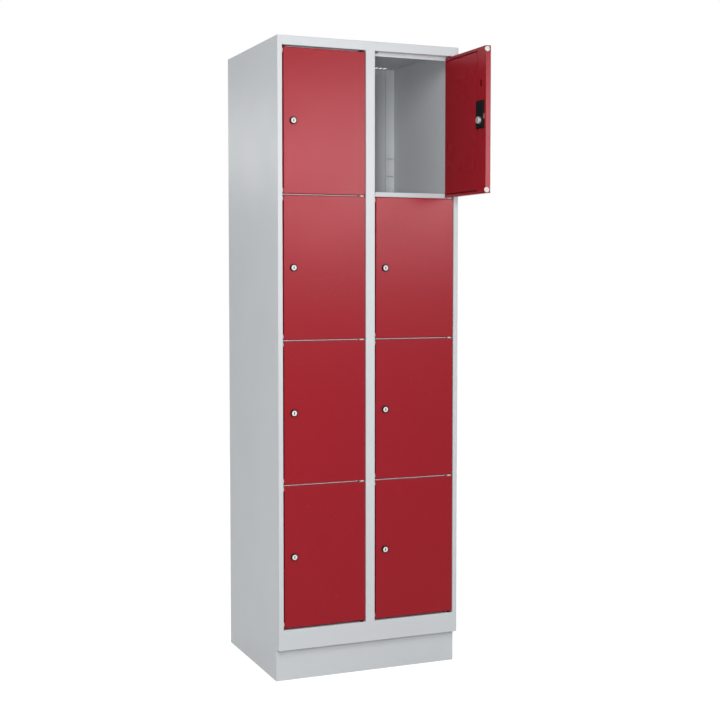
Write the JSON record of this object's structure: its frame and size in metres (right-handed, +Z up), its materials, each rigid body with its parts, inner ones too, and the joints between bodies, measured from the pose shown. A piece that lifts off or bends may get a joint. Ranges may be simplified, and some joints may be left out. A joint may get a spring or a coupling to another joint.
{
  "type": "compartment locker",
  "caption": "Free-standing sheet steel locker with two columns of stacked compartments, pivot-hung doors with key-operated dead bolts, and a set-back plinth.",
  "frame": {"origin": "on the floor, at the middle of the flange that the kick plate stands on", "axes": "+Z up along the height, -Y out of the doors, +X to the right seen from the front, across the width"},
  "size_m": [0.6, 0.7501, 1.95],
  "materials": {
    "carcass_paint": "light grey powder coat, fine texture, satin",
    "door_paint": "ruby red powder coat, smooth, semi-gloss",
    "nylon": "white moulded nylon",
    "lock_plastic": "black moulded plastic",
    "plug_metal": "nickel-plated zinc, satin",
    "bolt_metal": "zinc-plated steel",
    "pin_steel": "blackened steel"
  },
  "bodies": {
    "carcass": {"left_side_wall": "carcass_paint", "right_side_wall": "carcass_paint", "centre_partition": "carcass_paint", "back_panel": "carcass_paint", "roof": "carcass_paint", "floor_panel": "carcass_paint", "plinth": "carcass_paint", "left_shelves": "carcass_paint", "right_shelves": "carcass_paint", "rear_posts": "carcass_paint", "hinge_pins": "pin_steel", "hinge_bushes": "nylon"},
    "door_left_1": {"door_left_1_panel": "door_paint", "door_left_1_stiffener": "door_paint", "door_left_1_buffers": "nylon", "lock_left_1_case": "lock_plastic"},
    "plug_left_1": {"lock_left_1_plug": "plug_metal"},
    "bolt_left_1": {"lock_left_1_bolt": "bolt_metal"},
    "door_left_2": {"door_left_2_panel": "door_paint", "door_left_2_stiffener": "door_paint", "door_left_2_buffers": "nylon", "lock_left_2_case": "lock_plastic"},
    "plug_left_2": {"lock_left_2_plug": "plug_metal"},
    "bolt_left_2": {"lock_left_2_bolt": "bolt_metal"},
    "door_left_3": {"door_left_3_panel": "door_paint", "door_left_3_stiffener": "door_paint", "door_left_3_buffers": "nylon", "lock_left_3_case": "lock_plastic"},
    "plug_left_3": {"lock_left_3_plug": "plug_metal"},
    "bolt_left_3": {"lock_left_3_bolt": "bolt_metal"},
    "door_left_4": {"door_left_4_panel": "door_paint", "door_left_4_stiffener": "door_paint", "door_left_4_buffers": "nylon", "lock_left_4_case": "lock_plastic"},
    "plug_left_4": {"lock_left_4_plug": "plug_metal"},
    "bolt_left_4": {"lock_left_4_bolt": "bolt_metal"},
    "door_right_1": {"door_right_1_panel": "door_paint", "door_right_1_stiffener": "door_paint", "door_right_1_buffers": "nylon", "lock_right_1_case": "lock_plastic"},
    "plug_right_1": {"lock_right_1_plug": "plug_metal"},
    "bolt_right_1": {"lock_right_1_bolt": "bolt_metal"},
    "door_right_2": {"door_right_2_panel": "door_paint", "door_right_2_stiffener": "door_paint", "door_right_2_buffers": "nylon", "lock_right_2_case": "lock_plastic"},
    "plug_right_2": {"lock_right_2_plug": "plug_metal"},
    "bolt_right_2": {"lock_right_2_bolt": "bolt_metal"},
    "door_right_3": {"door_right_3_panel": "door_paint", "door_right_3_stiffener": "door_paint", "door_right_3_buffers": "nylon", "lock_right_3_case": "lock_plastic"},
    "plug_right_3": {"lock_right_3_plug": "plug_metal"},
    "bolt_right_3": {"lock_right_3_bolt": "bolt_metal"},
    "door_right_4": {"door_right_4_panel": "door_paint", "door_right_4_stiffener": "door_paint", "door_right_4_buffers": "nylon", "lock_right_4_case": "lock_plastic"},
    "plug_right_4": {"lock_right_4_plug": "plug_metal"},
    "bolt_right_4": {"lock_right_4_bolt": "bolt_metal"}
  },
  "joints": [
    {"name": "door_left_1_swing", "type": "hinge", "parent": "carcass", "child": "door_left_1", "pos_m": [-0.02751, -0.0343, 1.6995], "axis": [0, 0, 1], "range_deg": [0, 110]},
    {"name": "plug_left_1_turn", "type": "hinge", "parent": "door_left_1", "child": "plug_left_1", "pos_m": [-0.251, -0.0405, 1.6995], "axis": [0, -1, 0], "range_deg": [0, 90]},
    {"name": "bolt_left_1_slide", "type": "slide", "parent": "door_left_1", "child": "bolt_left_1", "axis": [-1, 0, 0], "range_m": [0, 0.02]},
    {"name": "door_left_2_swing", "type": "hinge", "parent": "carcass", "child": "door_left_2", "pos_m": [-0.02751, -0.0343, 1.2615], "axis": [0, 0, 1], "range_deg": [0, 110]},
    {"name": "plug_left_2_turn", "type": "hinge", "parent": "door_left_2", "child": "plug_left_2", "pos_m": [-0.251, -0.0405, 1.2615], "axis": [0, -1, 0], "range_deg": [0, 90]},
    {"name": "bolt_left_2_slide", "type": "slide", "parent": "door_left_2", "child": "bolt_left_2", "axis": [-1, 0, 0], "range_m": [0, 0.02]},
    {"name": "door_left_3_swing", "type": "hinge", "parent": "carcass", "child": "door_left_3", "pos_m": [-0.02751, -0.0343, 0.8235], "axis": [0, 0, 1], "range_deg": [0, 110]},
    {"name": "plug_left_3_turn", "type": "hinge", "parent": "door_left_3", "child": "plug_left_3", "pos_m": [-0.251, -0.0405, 0.8235], "axis": [0, -1, 0], "range_deg": [0, 90]},
    {"name": "bolt_left_3_slide", "type": "slide", "parent": "door_left_3", "child": "bolt_left_3", "axis": [-1, 0, 0], "range_m": [0, 0.02]},
    {"name": "door_left_4_swing", "type": "hinge", "parent": "carcass", "child": "door_left_4", "pos_m": [-0.02751, -0.0343, 0.3855], "axis": [0, 0, 1], "range_deg": [0, 110]},
    {"name": "plug_left_4_turn", "type": "hinge", "parent": "door_left_4", "child": "plug_left_4", "pos_m": [-0.251, -0.0405, 0.3855], "axis": [0, -1, 0], "range_deg": [0, 90]},
    {"name": "bolt_left_4_slide", "type": "slide", "parent": "door_left_4", "child": "bolt_left_4", "axis": [-1, 0, 0], "range_m": [0, 0.02]},
    {"name": "door_right_1_swing", "type": "hinge", "parent": "carcass", "child": "door_right_1", "pos_m": [0.27249, -0.0343, 1.6995], "axis": [0, 0, 1], "range_deg": [-90.6, 19.4]},
    {"name": "plug_right_1_turn", "type": "hinge", "parent": "door_right_1", "child": "plug_right_1", "pos_m": [0.28103, -0.25771, 1.6995], "axis": [0.9999, 0.0105, 0], "range_deg": [0, 90]},
    {"name": "bolt_right_1_slide", "type": "slide", "parent": "door_right_1", "child": "bolt_right_1", "axis": [0.0105, -0.9999, 0], "range_m": [0, 0.02]},
    {"name": "door_right_2_swing", "type": "hinge", "parent": "carcass", "child": "door_right_2", "pos_m": [0.27249, -0.0343, 1.2615], "axis": [0, 0, 1], "range_deg": [0, 110]},
    {"name": "plug_right_2_turn", "type": "hinge", "parent": "door_right_2", "child": "plug_right_2", "pos_m": [0.049, -0.0405, 1.2615], "axis": [0, -1, 0], "range_deg": [0, 90]},
    {"name": "bolt_right_2_slide", "type": "slide", "parent": "door_right_2", "child": "bolt_right_2", "axis": [-1, 0, 0], "range_m": [0, 0.02]},
    {"name": "door_right_3_swing", "type": "hinge", "parent": "carcass", "child": "door_right_3", "pos_m": [0.27249, -0.0343, 0.8235], "axis": [0, 0, 1], "range_deg": [0, 110]},
    {"name": "plug_right_3_turn", "type": "hinge", "parent": "door_right_3", "child": "plug_right_3", "pos_m": [0.049, -0.0405, 0.8235], "axis": [0, -1, 0], "range_deg": [0, 90]},
    {"name": "bolt_right_3_slide", "type": "slide", "parent": "door_right_3", "child": "bolt_right_3", "axis": [-1, 0, 0], "range_m": [0, 0.02]},
    {"name": "door_right_4_swing", "type": "hinge", "parent": "carcass", "child": "door_right_4", "pos_m": [0.27249, -0.0343, 0.3855], "axis": [0, 0, 1], "range_deg": [0, 110]},
    {"name": "plug_right_4_turn", "type": "hinge", "parent": "door_right_4", "child": "plug_right_4", "pos_m": [0.049, -0.0405, 0.3855], "axis": [0, -1, 0], "range_deg": [0, 90]},
    {"name": "bolt_right_4_slide", "type": "slide", "parent": "door_right_4", "child": "bolt_right_4", "axis": [-1, 0, 0], "range_m": [0, 0.02]}
  ],
  "couplings": [
    {"joint": "bolt_left_1_slide", "follows": "plug_left_1_turn", "m_per_rad": 0.012732},
    {"joint": "bolt_left_2_slide", "follows": "plug_left_2_turn", "m_per_rad": 0.012732},
    {"joint": "bolt_left_3_slide", "follows": "plug_left_3_turn", "m_per_rad": 0.012732},
    {"joint": "bolt_left_4_slide", "follows": "plug_left_4_turn", "m_per_rad": 0.012732},
    {"joint": "bolt_right_1_slide", "follows": "plug_right_1_turn", "m_per_rad": 0.012732},
    {"joint": "bolt_right_2_slide", "follows": "plug_right_2_turn", "m_per_rad": 0.012732},
    {"joint": "bolt_right_3_slide", "follows": "plug_right_3_turn", "m_per_rad": 0.012732},
    {"joint": "bolt_right_4_slide", "follows": "plug_right_4_turn", "m_per_rad": 0.012732}
  ]
}
